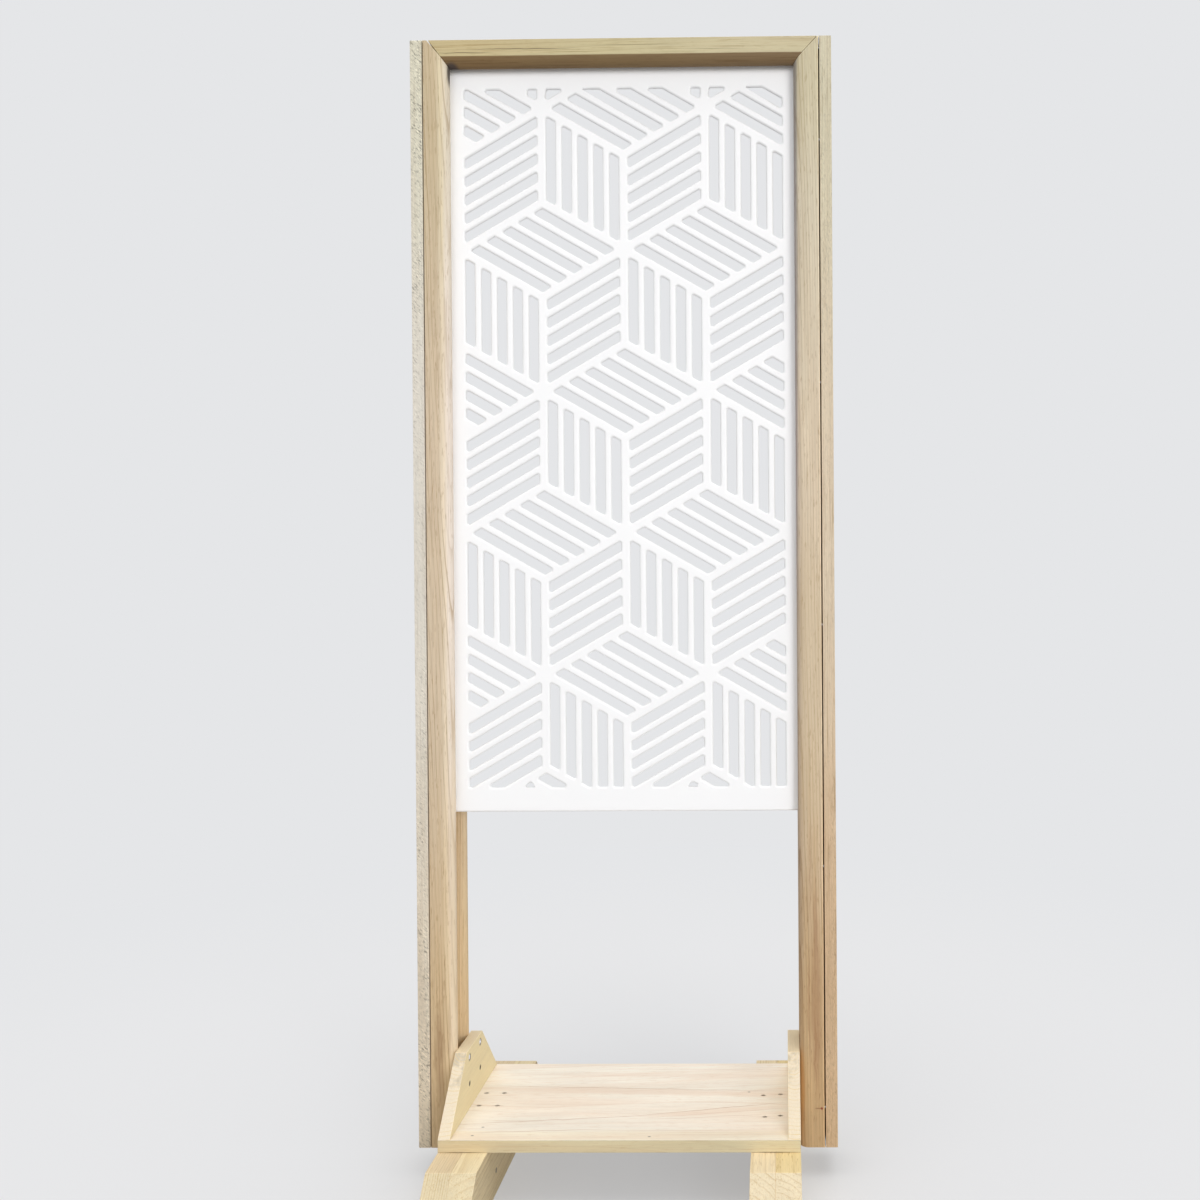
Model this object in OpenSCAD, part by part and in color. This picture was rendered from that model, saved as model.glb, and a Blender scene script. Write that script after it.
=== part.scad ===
// Free-standing room divider: a slotted screen in a timber frame, on a shelf with two feet.
// The origin is on the floor, in the middle. +Z is up, +X is to the right, the front faces -Y.

/* [Overall] */
// Height from the floor to the top of the frame
overall_h = 1829; // [1500:1:2100]
// Length of the shelf, which is also the clear width between the posts
shelf_l = 554; // [420:1:800]

/* [Boards] */
// Thickness of the side boards, gussets and shelf
board_t = 19; // [16:0.5:22]
// Width of the side boards and foot plies
board_w = 89; // [84:1:96]
// Depth of the shelf board
shelf_d = 286; // [250:1:320]
// Height of a gusset, ripped from a wider board
gusset_h = 96; // [84:1:110]
// Thickness of one ply of a foot
ply_t = 38; // [32:1:45]
// Length of a foot along the floor, between its two 45 degree cuts
foot_l = 584; // [520:1:700]
// How far the posts reach below the top of the feet
post_drop = 40; // [20:1:60]

/* [Frame] */
// Width of the stiles and height of the top rails, seen from the front
stile_w = 41; // [36:1:55]
// Thickness of the stiles and top rails
stile_t = 25; // [20:0.5:30]
// Length of the rounded nose on their inner edge
nose_l = 15; // [8:0.5:18]
// Width of the spacers between the front and rear stiles
spacer_w = 19; // [14:0.5:20]
// Seam between a side board and the stiles
side_seam = 0.5; // [0:0.1:0.9]
// How far in from the post's edge the left mitre starts
mitre_inset_left = 9; // [0:0.5:12]
// How far in from the post's edge the right mitre starts
mitre_inset_right = 3; // [0:0.5:12]
// Open seam in a mitre
mitre_gap = 0.5; // [0.1:0.1:0.9]

/* [Screen panel] */
// Height of the panel
panel_h = 1214; // [900:1:1400]
// Thickness of the panel
panel_t = 8; // [4:0.5:12]
// How far the panel reaches behind each stile
panel_lap = 21; // [18:0.5:21.5]
// Space between the panel's top edge and the top spacer
panel_top_gap = 10; // [2:1:18]
// Plain border round the slots
panel_border = 39.8; // [36:0.1:60]
// Edge length of a cube face in the pattern
cell_edge = 153.2; // [120:0.1:220]
// Slots in each cube face
cell_slots = 5; // [3:1:6]
// Width of a slot
slot_w = 14.6; // [8:0.1:18]
// Width of the bars that outline the cube faces
main_bar = 15.2; // [10:0.1:24]
// Radius of the corners of a slot
slot_corner_r = 2.6; // [1:0.1:4]
// Slots that the border trims to less than this area are left out
smallest_slot = 60; // [20:1:150]

/* [Screws] */
// Radius of a screw's shank
screw_r = 2.1; // [1.5:0.1:2.4]
// Radius of a screw's head
head_r = 4.1; // [3.2:0.1:4.6]
// Height of a screw's head
head_h = 2.6; // [2:0.1:3.2]
// Clearance round a screw in its hole
hole_play = 0.1; // [0.05:0.05:0.2]
// Length of the side board screws
side_screw_l = 45; // [38:1:48]
// Side board screws in each stile
side_screw_rows = 5; // [3:1:8]
// Length of the spacer screws
spacer_screw_l = 32; // [28:1:34]
// Spacer screws in each side spacer
spacer_screw_rows = 4; // [2:1:7]
// Length of the screws that draw a mitre together
mitre_screw_l = 60; // [52:1:64]
// Length of the shelf screws
shelf_screw_l = 57; // [45:1:64]
// Length of the gusset screws
gusset_screw_l = 44; // [38:1:50]
// Length of the screws that come up through the shelf into a gusset
edge_screw_l = 50; // [38:1:54]
// Length of the screws that join the two plies of a foot
foot_screw_l = 64; // [52:1:68]
// Distance of the side board screws from the ends of their row
side_screw_margin = 60; // [40:1:90]
// Distance of the mitre screws from the top
mitre_screw_drop = 14; // [12:0.5:16]
// Height of the lower gusset screws over the shelf
gusset_screw_low = 40; // [30:1:46]
// Distance of the upper gusset screws from the gusset's top
gusset_screw_drop = 13; // [12:0.5:20]
// Distance of the outer screws under a gusset from the shelf's long edges
edge_screw_in = 53; // [45:1:80]
// Height of the foot screws over the floor
foot_screw_h = 36; // [26:1:38]
// Distance of the outer foot screws from the foot's end
foot_screw_in = 82; // [75:1:100]
// Distance between the two foot screws at each end
foot_screw_pitch = 120; // [60:1:140]
// Length of the panel screws
panel_screw_l = 25; // [20:1:30]
// Distance of the panel screws from the panel's side edge
panel_screw_in = 8.5; // [7:0.5:9]
// Distance of the outer panel screws from the panel's top and bottom
panel_screw_margin = 60; // [45:1:120]
// Panel screws on each side
panel_screw_rows = 5; // [3:1:7]
// Radius of a panel washer
washer_r = 6; // [5:0.1:6.5]
// Thickness of a panel washer
washer_t = 1; // [0.8:0.1:1.6]

/* [Hidden] */

// Heights
foot_top = board_w;
shelf_top = foot_top + board_t;
post_foot = foot_top - post_drop;
rail_foot = overall_h - stile_w;

// Distances from the middle plane
post_in = shelf_l / 2;
stile_out = post_in + stile_w;
board_in = stile_out + side_seam;
board_out = board_in + board_t;
spacer_in = stile_out - spacer_w;

// Depths
front_y = -board_w / 2;
stile_back_y = front_y + stile_t;
stile_mid_y = front_y + stile_t / 2;
channel_d = board_w - 2 * stile_t;
panel_back_y = stile_back_y + panel_t;

// Panel and its window of slots, in the panel's own plane
panel_w = 2 * (post_in + panel_lap);
panel_top = overall_h - spacer_w - panel_top_gap;
panel_foot = panel_top - panel_h;
window_x = panel_w / 2 - panel_border;
window_top = panel_top - panel_border;
window_foot = panel_foot + panel_border;
cell_w = cell_edge * cos(30);
slot_bar = (cell_w - main_bar - cell_slots * slot_w) / (cell_slots - 1);
// A row of star points, where six bars meet, lies half a cube edge above the window's middle
star_z = (window_top + window_foot) / 2 + cell_edge / 2;
cells_x = ceil(window_x / cell_w) + 1;
cells_z = ceil((window_top - window_foot) / 2 / (1.5 * cell_edge)) + 2;

// Where the screws go
gusset_screw_high = gusset_h - gusset_screw_drop;
edge_screw_y = shelf_d / 2 - edge_screw_in;
foot_screw_y = foot_l / 2 - foot_screw_in;
// Shelf screws as [distance from the shelf's end, distance from its middle line]
outer_ply_screw = ply_t - 6.5;
inner_ply_screw = 2 * ply_t - 14.5;
left_shelf_screws = [
    [outer_ply_screw, -23.5], [inner_ply_screw, -23.5],
    [outer_ply_screw, 23.5], [inner_ply_screw, 23.5]];
right_shelf_screws = [
    [outer_ply_screw, -61], [inner_ply_screw - 5.5, -65],
    [outer_ply_screw, 17], [inner_ply_screw - 1.5, 13]];

over = 1;
tip_l = 3 * screw_r;
round_fn = 32;
nose_steps = 20;
arc_step = 30;

// Evenly spaced values from a to b
function spread(a, b, n) = [for (i = [0:n - 1]) a + (b - a) * i / (n - 1)];
function unit(v) = v / norm(v);
// The part of the convex outline p where n * point is at most c
function clip(p, n, c) = len(p) < 3 ? [] : [
    for (i = [0:len(p) - 1])
        let (a = p[i], b = p[(i + 1) % len(p)], da = n * a - c, db = n * b - c)
        each concat(da <= 0 ? [a] : [], da * db < 0 ? [a + (b - a) * da / (da - db)] : [])];
function in_window(p) =
    clip(clip(clip(clip(p, [1, 0], window_x), [-1, 0], window_x), [0, 1], window_top), [0, -1], -window_foot);
function area(p) = len(p) < 3 ? 0 :
    [for (i = [0:len(p) - 1]) cross(p[i], p[(i + 1) % len(p)])] * [for (i = p) 0.5];
// One corner b of an outline, between its neighbours a and c, as an arc
function corner(a, b, c) =
    let (
        to_a = unit(a - b),
        to_c = unit(c - b),
        half = acos(to_a * to_c) / 2,
        reach = min(slot_corner_r / tan(half), 0.45 * min(norm(a - b), norm(c - b))),
        r = reach * tan(half),
        mid = b + unit(to_a + to_c) * r / sin(half),
        start = b + to_a * reach - mid,
        from = atan2(start[1], start[0]),
        turn = 180 - 2 * half,
        steps = ceil(turn / arc_step - 0.01))
    [for (k = [0:steps]) mid + r * [cos(from + turn * k / steps), sin(from + turn * k / steps)]];
function rounded(p) = [
    for (i = [0:len(p) - 1]) each corner(p[(i + len(p) - 1) % len(p)], p[i], p[(i + 1) % len(p)])];
// Slot j of a cube face with one corner at o: it runs along edge direction e, and j counts along f
function slot(o, e, f, j) =
    let (
        margin = main_bar / 2 / cos(30),
        near = margin + j * (slot_w + slot_bar) / cos(30),
        far = near + slot_w / cos(30),
        end = cell_edge - margin)
    [o + margin * e + near * f, o + end * e + near * f, o + end * e + far * f, o + margin * e + far * f];
// The three faces of the cube that stands on the star point s, as [corner, slot direction, other edge]
up = [0, 1];
rise = [cos(30), 0.5];
fall = [cos(30), -0.5];
function cube_faces(s) = [
    [s, up, -fall],
    [s, rise, up],
    [s + cell_edge * (up - fall), fall, rise]];
slots = [
    for (row = [-cells_z:cells_z], column = [-cells_x:cells_x])
        if ((row + column) % 2 != 0)
            for (face = cube_faces([column * cell_w, star_z + row * 1.5 * cell_edge]), j = [0:cell_slots - 1])
                let (cut = in_window(slot(face[0], face[1], face[2], j)))
                    if (area(cut) > smallest_slot) cut];

// Section of a stile or rail: w wide, its nose at 0, its front face along y = 0
function nosed(w) = concat(
    [[w, 0], [w, stile_t]],
    [for (i = [0:nose_steps])
        let (t = 90 - 180 * i / nose_steps)
        [nose_l * (1 - cos(t)), stile_t / 2 * (1 + sin(t))]]);

module on_left() {
    mirror([1, 0, 0]) children();
}

module on_rear() {
    mirror([0, 1, 0]) children();
}

// Fasteners, with the face that they are driven into at z = 0 and the shank below it
module wood_screw(l) {
    rotate_extrude($fn = round_fn)
        polygon([[0, 0], [head_r, 0], [screw_r, -head_h], [screw_r, tip_l - l], [0, -l]]);
}

module wood_screw_hole(l) {
    play = hole_play;
    rotate_extrude($fn = round_fn)
        polygon([
            [0, over], [head_r + play, over], [head_r + play, 0], [screw_r + play, -head_h],
            [screw_r + play, tip_l - l], [0, -l - play]]);
}

module pan_screw(l) {
    rotate_extrude($fn = round_fn)
        polygon(concat(
            [[0, -l], [screw_r, tip_l - l], [screw_r, 0]],
            [for (t = [0:15:90]) [head_r * cos(t), head_h * sin(t)]]));
}

module pan_screw_hole(l) {
    play = hole_play;
    rotate_extrude($fn = round_fn)
        polygon([[0, over], [screw_r + play, over], [screw_r + play, tip_l - l], [0, -l - play]]);
}

// Places of the fasteners on the right side
module at_side_screws() {
    for (z = spread(post_foot + side_screw_margin, rail_foot - 2 * side_screw_margin, side_screw_rows))
        translate([board_out, stile_mid_y, z]) rotate([0, 90, 0]) children();
}

module at_spacer_screws() {
    low = post_foot + 4 * side_screw_margin;
    high = rail_foot - 5 * side_screw_margin;
    for (z = spread(low, high, spacer_screw_rows))
        translate([board_out, 0, z]) rotate([0, 90, 0]) children();
}

module at_top_spacer_screw() {
    translate([board_out, 0, overall_h - spacer_w / 2]) rotate([0, 90, 0]) children();
}

module at_mitre_screw() {
    translate([board_out, stile_mid_y, overall_h - mitre_screw_drop]) rotate([0, 90, 0]) children();
}

module at_gusset_screws() {
    for (h = [gusset_screw_low, gusset_screw_high])
        translate([post_in - board_t, stile_mid_y, shelf_top + h]) rotate([0, -90, 0]) children();
}

module at_edge_screws() {
    for (y = [-edge_screw_y, 0, edge_screw_y])
        translate([post_in - board_t / 2, y, foot_top]) rotate([180, 0, 0]) children();
}

module at_foot_screws() {
    inner_y = foot_screw_y - foot_screw_pitch;
    for (y = [foot_screw_y, inner_y, -foot_screw_y, -inner_y])
        translate([post_in - 2 * ply_t, y, foot_screw_h]) rotate([0, -90, 0]) children();
}

module at_shelf_screws(places) {
    for (p = places)
        translate([post_in - p[0], p[1], shelf_top]) children();
}

module at_panel_screws() {
    for (z = spread(panel_foot + panel_screw_margin, panel_top - panel_screw_margin, panel_screw_rows))
        translate([panel_w / 2 - panel_screw_in, panel_back_y, z]) rotate([-90, 0, 0]) children();
}

// A prism along Y with the outline given in X and Z
module across(y_from, y_to) {
    translate([0, y_to, 0]) rotate([90, 0, 0]) linear_extrude(y_to - y_from) children();
}

module side_board() {
    color("burlywood")
        difference() {
            translate([board_in, front_y, post_foot]) cube([board_t, board_w, overall_h - post_foot]);
            at_side_screws() wood_screw_hole(side_screw_l);
            on_rear() at_side_screws() wood_screw_hole(side_screw_l);
            at_spacer_screws() wood_screw_hole(spacer_screw_l);
            at_top_spacer_screw() wood_screw_hole(side_screw_l);
            at_mitre_screw() wood_screw_hole(mitre_screw_l);
            on_rear() at_mitre_screw() wood_screw_hole(mitre_screw_l);
        }
}

// The right front stile, mitred at the top
module stile(inset) {
    color("tan")
        difference() {
            intersection() {
                translate([post_in, front_y, post_foot])
                    linear_extrude(overall_h - post_foot) polygon(nosed(stile_w));
                across(front_y - over, stile_back_y + over)
                    polygon([
                        [post_in - over, post_foot - over], [stile_out + over, post_foot - over],
                        [stile_out + over, overall_h + over], [stile_out - inset, overall_h + over],
                        [stile_out - inset, overall_h], [post_in, rail_foot], [post_in - over, rail_foot]]);
            }
            at_side_screws() wood_screw_hole(side_screw_l);
            at_mitre_screw() wood_screw_hole(mitre_screw_l);
            at_gusset_screws() wood_screw_hole(gusset_screw_l);
        }
}

module front_stile(inset) {
    difference() {
        stile(inset);
        at_panel_screws() translate([0, 0, washer_t]) pan_screw_hole(panel_screw_l);
    }
}

// The front top rail, mitred at both ends
module top_rail() {
    color("tan")
        difference() {
            intersection() {
                translate([stile_out, front_y, rail_foot])
                    rotate([0, -90, 0]) linear_extrude(2 * stile_out) polygon(nosed(stile_w));
                across(front_y - over, stile_back_y + over)
                    polygon([
                        [-post_in + mitre_gap, rail_foot], [post_in - mitre_gap, rail_foot],
                        [stile_out - mitre_inset_right - mitre_gap, overall_h],
                        [-stile_out + mitre_inset_left + mitre_gap, overall_h]]);
            }
            at_mitre_screw() wood_screw_hole(mitre_screw_l);
            on_left() at_mitre_screw() wood_screw_hole(mitre_screw_l);
        }
}

module side_spacer() {
    color("peru")
        difference() {
            translate([spacer_in, -channel_d / 2, post_foot])
                cube([spacer_w, channel_d, overall_h - spacer_w - post_foot]);
            at_spacer_screws() wood_screw_hole(spacer_screw_l);
        }
}

module top_spacer() {
    color("peru")
        difference() {
            translate([-stile_out, -channel_d / 2, overall_h - spacer_w])
                cube([2 * stile_out, channel_d, spacer_w]);
            at_top_spacer_screw() wood_screw_hole(side_screw_l);
            on_left() at_top_spacer_screw() wood_screw_hole(side_screw_l);
        }
}

module screen_panel() {
    color("white")
        across(stile_back_y, panel_back_y)
            difference() {
                translate([-panel_w / 2, panel_foot]) square([panel_w, panel_h]);
                for (s = slots)
                    polygon(rounded(s));
                for (x = [-1, 1], z = spread(
                        panel_foot + panel_screw_margin, panel_top - panel_screw_margin, panel_screw_rows))
                    translate([x * (panel_w / 2 - panel_screw_in), z])
                        circle(screw_r + hole_play, $fn = round_fn);
            }
}

module panel_screws() {
    color("silver") {
        at_panel_screws() translate([0, 0, washer_t]) pan_screw(panel_screw_l);
        on_left() at_panel_screws() translate([0, 0, washer_t]) pan_screw(panel_screw_l);
    }
}

module washer() {
    rotate_extrude($fn = round_fn)
        translate([screw_r + hole_play, 0]) square([washer_r - screw_r - hole_play, washer_t]);
}

module panel_washers() {
    color("silver") {
        at_panel_screws() washer();
        on_left() at_panel_screws() washer();
    }
}

module shelf_board() {
    color("wheat")
        difference() {
            translate([-post_in, -shelf_d / 2, foot_top]) cube([shelf_l, shelf_d, board_t]);
            at_shelf_screws(right_shelf_screws) wood_screw_hole(shelf_screw_l);
            on_left() at_shelf_screws(left_shelf_screws) wood_screw_hole(shelf_screw_l);
            at_edge_screws() wood_screw_hole(edge_screw_l);
            on_left() at_edge_screws() wood_screw_hole(edge_screw_l);
        }
}

// The right gusset, with both ends cut at 45 degrees
module gusset() {
    half = shelf_d / 2;
    color("khaki")
        difference() {
            translate([post_in - board_t, 0, shelf_top])
                rotate([90, 0, 90]) linear_extrude(board_t)
                    polygon([[-half, 0], [half, 0], [half - gusset_h, gusset_h], [gusset_h - half, gusset_h]]);
            at_gusset_screws() wood_screw_hole(gusset_screw_l);
            on_rear() at_gusset_screws() wood_screw_hole(gusset_screw_l);
            at_edge_screws() wood_screw_hole(edge_screw_l);
        }
}

// One ply of the right foot, in_from_end from the shelf's end, with both ends cut at 45 degrees
module foot_ply(in_from_end, places) {
    half = foot_l / 2;
    color("palegoldenrod")
        difference() {
            translate([post_in - in_from_end - ply_t, 0, 0])
                rotate([90, 0, 90]) linear_extrude(ply_t)
                    polygon([[-half, 0], [half, 0], [half - board_w, board_w], [board_w - half, board_w]]);
            at_shelf_screws(places) wood_screw_hole(shelf_screw_l);
            at_foot_screws() wood_screw_hole(foot_screw_l);
        }
}

module shelf_screws() {
    color("dimgray") {
        at_shelf_screws(right_shelf_screws) wood_screw(shelf_screw_l);
        on_left() at_shelf_screws(left_shelf_screws) wood_screw(shelf_screw_l);
    }
}

module gusset_screws() {
    color("silver")
        for (x = [0, 1], y = [0, 1])
            mirror([x, 0, 0]) mirror([0, y, 0]) at_gusset_screws() wood_screw(gusset_screw_l);
}

module gusset_edge_screws() {
    color("silver") {
        at_edge_screws() wood_screw(edge_screw_l);
        on_left() at_edge_screws() wood_screw(edge_screw_l);
    }
}

module side_board_screws() {
    color("silver")
        for (x = [0, 1], y = [0, 1])
            mirror([x, 0, 0]) mirror([0, y, 0]) at_side_screws() wood_screw(side_screw_l);
}

module spacer_screws() {
    color("silver")
        for (x = [0, 1])
            mirror([x, 0, 0]) {
                at_spacer_screws() wood_screw(spacer_screw_l);
                at_top_spacer_screw() wood_screw(side_screw_l);
            }
}

module mitre_screws() {
    color("silver")
        for (x = [0, 1], y = [0, 1])
            mirror([x, 0, 0]) mirror([0, y, 0]) at_mitre_screw() wood_screw(mitre_screw_l);
}

module foot_screws() {
    color("silver") {
        at_foot_screws() wood_screw(foot_screw_l);
        on_left() at_foot_screws() wood_screw(foot_screw_l);
    }
}

on_left() side_board();  // left_side_board
side_board();  // right_side_board
on_left() front_stile(mitre_inset_left);  // front_left_stile
front_stile(mitre_inset_right);  // front_right_stile
top_rail();  // front_top_rail
on_left() on_rear() stile(mitre_inset_left);  // rear_left_stile
on_rear() stile(mitre_inset_right);  // rear_right_stile
on_rear() top_rail();  // rear_top_rail
on_left() side_spacer();  // left_spacer
side_spacer();  // right_spacer
top_spacer();
screen_panel();
panel_screws();
panel_washers();
shelf_board();
on_left() gusset();  // left_gusset
gusset();  // right_gusset
on_left() foot_ply(0, left_shelf_screws);  // left_foot_outer_ply
on_left() foot_ply(ply_t, left_shelf_screws);  // left_foot_inner_ply
foot_ply(0, right_shelf_screws);  // right_foot_outer_ply
foot_ply(ply_t, right_shelf_screws);  // right_foot_inner_ply
shelf_screws();
gusset_screws();
gusset_edge_screws();
side_board_screws();
spacer_screws();
mitre_screws();
foot_screws();
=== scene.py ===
"""Looks for the free-standing room divider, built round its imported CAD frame.

Laid out as an add-on and run as a script. All lengths are in metres, in the CAD's own frame:
+Z is up, the front faces -Y, and the origin is on the floor in the middle.
"""

import math

import bmesh
import bpy
from mathutils import Matrix, Vector


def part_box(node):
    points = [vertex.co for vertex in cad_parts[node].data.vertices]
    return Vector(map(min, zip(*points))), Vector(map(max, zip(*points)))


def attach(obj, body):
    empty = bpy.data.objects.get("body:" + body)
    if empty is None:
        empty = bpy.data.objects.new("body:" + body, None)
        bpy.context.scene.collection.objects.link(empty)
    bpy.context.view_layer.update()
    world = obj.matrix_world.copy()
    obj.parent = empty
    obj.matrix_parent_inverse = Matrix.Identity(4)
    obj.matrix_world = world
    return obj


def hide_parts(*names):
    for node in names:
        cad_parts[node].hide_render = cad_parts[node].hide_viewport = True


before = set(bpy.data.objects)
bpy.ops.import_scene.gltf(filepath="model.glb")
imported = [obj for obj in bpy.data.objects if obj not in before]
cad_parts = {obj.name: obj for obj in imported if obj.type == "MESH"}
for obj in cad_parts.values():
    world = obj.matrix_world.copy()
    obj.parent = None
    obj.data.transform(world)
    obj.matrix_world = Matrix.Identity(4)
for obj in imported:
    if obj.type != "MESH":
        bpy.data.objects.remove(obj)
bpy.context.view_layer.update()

bl_info = {
    "name": "Room divider looks",
    "version": (1, 0, 0),
    "blender": (4, 5, 0),
    "location": "3D View > Sidebar > Divider",
    "description": "Sawn timber, satin panel and screw finishes for a free-standing room divider",
    "category": "Object",
}

# In the CAD meshes, points closer than this are one
WELD_GAP = 2e-6
# Faces that meet below the first angle are one face, edges above the second are eased, and edges
# above the third are shaded as sharp
FLAT_ANGLE = math.radians(0.3)
EDGE_ANGLE = math.radians(28)
CREASE_ANGLE = math.radians(40)
# Rims of screw holes have shorter sides than this, and every outer edge has longer ones
RIM_SIDE = 0.0011

# Seam that the CAD leaves beside a front stile, and the length at its ends where it stays so
SIDE_SEAM = 0.0005
SEAM_END = 0.004

# Screws, as the CAD has them. A detailed head is smaller than its hole by the play.
SHANK_R = 0.0021
TIP_LENGTH = 3 * SHANK_R
HEAD_R = 0.0041
HEAD_H = 0.0026
HEAD_SIDES = 28
HEAD_PLAY = 0.0001
# Points of a screw's head, or of the hole round it, lie within this share of the head's size
HEAD_REACH = 1.2
# Cross recess: its arms and their half width as shares of the head, and the share left below
RECESS_ARM, RECESS_HALF, RECESS_TAPER = 0.62, 0.19, 0.45
# How far the tool that cuts the recess stands over the head
TOOL_RISE = 0.001
# Turn from one screw to the next, in radians, so that no two recesses line up
SCREW_TURN = 2.399
# Mouth of a hole whose screw was driven under the surface, and how deep the head sits in it
SUNK_R = 0.0024
SUNK_DEPTH = 0.0020
# Screw heads below this height are sunk: the shelf's, and the lower row in the gussets
SUNK_BELOW = 0.17

# Turn that lays the X axis of a board's own coordinates along its grain
GRAIN_TURN = {"X": (0, 0, 0), "Y": (0, 0, math.pi / 2), "Z": (0, -math.pi / 2, 0)}
GRAIN_LINE = {"X": (1, 0, 0), "Y": (0, 1, 0), "Z": (0, 0, 1)}
# Directions in those coordinates
ALONG, ACROSS, DEEP = (1, 0, 0), (0, 1, 0), (0, 0, 1)
# Front face of the stiles and rails, as a place across
FRONT = -0.0125

FLOOR_RADIUS = 9
# Distances from the middle over which the floor turns into the background
HAZE_NEAR, HAZE_FAR = 0.9, 2.4
WARM_LIGHT, COOL_LIGHT = (1.0, 0.99, 0.975), (0.985, 0.99, 1.0)
# Camera fitted to the photograph: metres, degrees, millimetres, and shares of the frame
CAMERA_PLACE = (0.2572, -1.8635, 0.9303)
CAMERA_TURN = (90 - 0.352, 0.378, 0.643)
CAMERA_LENS, CAMERA_SENSOR = 34.08, 36
CAMERA_SHIFT = (-0.143, 0.0049)

FLOAT, COLOUR, VECTOR = "NodeSocketFloat", "NodeSocketColor", "NodeSocketVector"


def shade(red, green, blue):
    """A display colour, 0 to 255, as the linear colour that a material holds."""
    def linear(c):
        c /= 255
        return c / 12.92 if c <= 0.04045 else ((c + 0.055) / 1.055) ** 2.4
    return (linear(red), linear(green), linear(blue), 1.0)


# Shadow in the open mitres
GAP = shade(66, 58, 56)


def colour_prop(name, description, *display):
    return bpy.props.FloatVectorProperty(
        name=name, description=description, subtype="COLOR", size=4, min=0, max=1,
        default=shade(*display))


def length_prop(name, description, default, low, high):
    return bpy.props.FloatProperty(
        name=name, description=description, unit="LENGTH", default=default, min=low, max=high,
        precision=4)


def level_prop(name, description, default):
    return bpy.props.FloatProperty(
        name=name, description=description, default=default, min=0, max=2)


class TimberLook(bpy.types.PropertyGroup):
    """Colours and edges of the sawn boards"""
    eased_edge: length_prop(
        "Eased edge", "Width of the eased edges of the boards", 0.0008, 0.0003, 0.003)
    left_seam: length_prop(
        "Left seam", "Seam beside the front left stile", 0.0016, 0.0005, 0.002)
    right_seam: length_prop(
        "Right seam", "Seam beside the front right stile", 0.0021, 0.0005, 0.003)
    side_pale: colour_prop("Side board", "Early wood of the rough side boards", 221, 215, 203)
    side_ring: colour_prop("Side board rings", "Late wood of the rough side boards", 196, 184, 168)
    post_pale: colour_prop(
        "Post", "Early wood of the stiles, spacers and right side board", 219, 202, 177)
    post_ring: colour_prop(
        "Post rings", "Late wood of the stiles, spacers and right side board", 168, 141, 106)
    rail_pale: colour_prop("Rail", "Early wood of the top rails", 200, 188, 148)
    rail_ring: colour_prop("Rail rings", "Late wood of the top rails", 166, 146, 104)
    shelf_pale: colour_prop("Shelf", "Early wood of the shelf", 245, 236, 221)
    shelf_ring: colour_prop("Shelf rings", "Late wood of the shelf", 222, 196, 170)
    gusset_pale: colour_prop("Gusset", "Early wood of the gussets", 243, 227, 184)
    gusset_ring: colour_prop("Gusset rings", "Late wood of the gussets", 222, 198, 146)
    foot_pale: colour_prop("Foot", "Early wood of the feet", 233, 215, 177)
    foot_ring: colour_prop("Foot rings", "Late wood of the feet", 194, 166, 118)
    heart: colour_prop("Heartwood", "Brown of the darker zones in the posts", 160, 128, 92)
    end_pale: colour_prop("End grain", "Pale cut ends of the boards", 214, 202, 172)
    gusset_end: colour_prop("Gusset ends", "Cut ends of the gussets", 228, 214, 192)
    foot_end: colour_prop("Foot ends", "Cut ends of the feet", 216, 202, 169)
    end_grey: colour_prop(
        "Weathered end grain", "Grey patches on the cut ends", 176, 164, 144)


class PanelLook(bpy.types.PropertyGroup):
    """Finish of the slotted panel"""
    rounding: length_prop(
        "Edge rounding", "Radius of the panel's moulded edges", 0.0037, 0.0003, 0.0038)
    colour: colour_prop("Panel", "Colour of the moulded panel", 249, 249, 250)
    roughness: bpy.props.FloatProperty(
        name="Roughness", description="Sheen of the panel, from gloss to matt", default=0.42,
        min=0, max=1, subtype="FACTOR")


class ScrewLook(bpy.types.PropertyGroup):
    """Shape and finish of the screws"""
    recess_depth: length_prop(
        "Recess depth", "Depth of the cross recess in a head", 0.0017, 0.0005, 0.0022)
    zinc: colour_prop("Zinc", "Colour of the plated screws", 248, 247, 252)
    # Painted shade: a darker, rougher copy of the zinc for the screws in the feet, which stand in
    # shade
    shaded_zinc: colour_prop(
        "Shaded zinc", "Colour of the weathered screws in the feet", 132, 124, 112)
    coated: colour_prop("Coated", "Colour of the dark coated screws", 74, 62, 54)


class StageLook(bpy.types.PropertyGroup):
    """Light, floor and background"""
    backdrop: colour_prop("Background", "Colour of the background", 229, 230, 232)
    floor: colour_prop("Floor", "Colour of the floor", 226, 226, 227)
    floor_bounce: colour_prop(
        "Floor bounce", "Colour of the light that the floor sends back", 178, 178, 178)
    haze: level_prop("Haze", "Share of the background's colour in the nearer floor", 0.45)
    ambient: level_prop("Ambient", "Level of the even light from all sides", 0.46)
    key: level_prop("Key light", "Level of the soft light from the front right", 0.40)
    fill: level_prop("Fill light", "Level of the soft light from the front left", 0.15)
    overhead: level_prop("Overhead light", "Level of the soft light from above", 0.53)


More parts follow.
